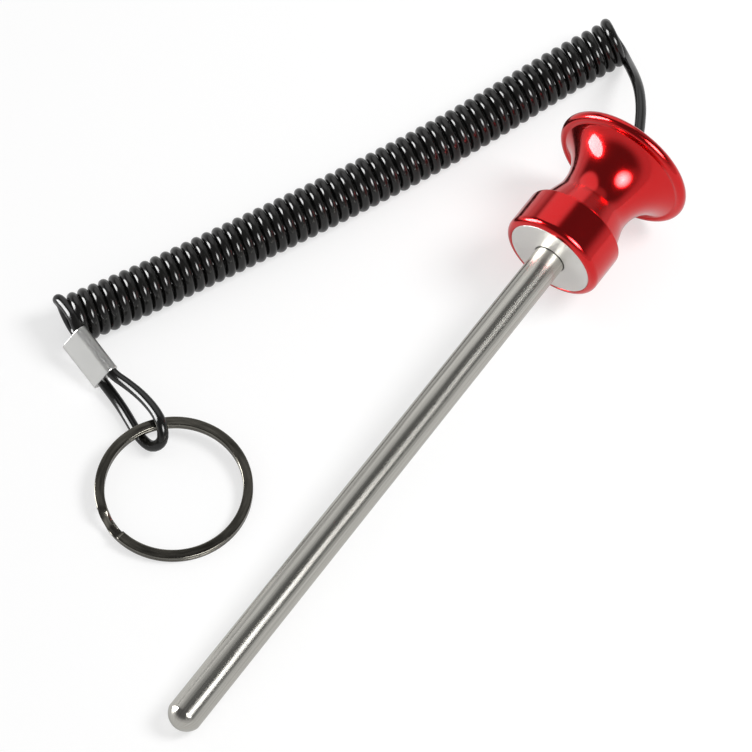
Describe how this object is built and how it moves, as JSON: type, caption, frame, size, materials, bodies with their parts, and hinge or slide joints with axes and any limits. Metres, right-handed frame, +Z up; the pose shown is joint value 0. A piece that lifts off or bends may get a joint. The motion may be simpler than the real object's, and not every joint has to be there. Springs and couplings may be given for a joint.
{
  "type": "weight stack pin",
  "caption": "Magnetic weight stack pin: a steel pin in a turned red knob with a magnet in its face, on a curly black cord with a crimped loop and a split ring.",
  "frame": {"origin": "on the surface that the part lies on, under the middle of the pin with its knob, cord left out", "axes": "+X along the pin over the surface, from its tip to its knob; +Y towards the cord and the ring; +Z up"},
  "size_m": [0.2656, 0.1302, 0.0424],
  "materials": {
    "pin": "brushed along its length, polished end",
    "knob": "bright red anodised",
    "magnet": "satin nickel plate",
    "cord": "glossy",
    "sleeve": "satin",
    "ring": "dark nickel, fine grain"
  },
  "bodies": {
    "root": {"pin_rod": "pin", "knob": "knob", "magnet_ring": "magnet", "cord_stop": "sleeve", "cord_lead": "cord", "cord_coil": "cord", "cord_loop": "cord", "crimp_ferrule": "sleeve"},
    "ring": {"split_ring": "ring"}
  },
  "joints": [
    {"name": "ring_swing", "type": "hinge", "parent": "root", "child": "ring", "pos_m": [-0.04036, 0.0634, 0.00536], "axis": [-0.8746, 0.4848, 0], "range_deg": [0, 150]}
  ]
}
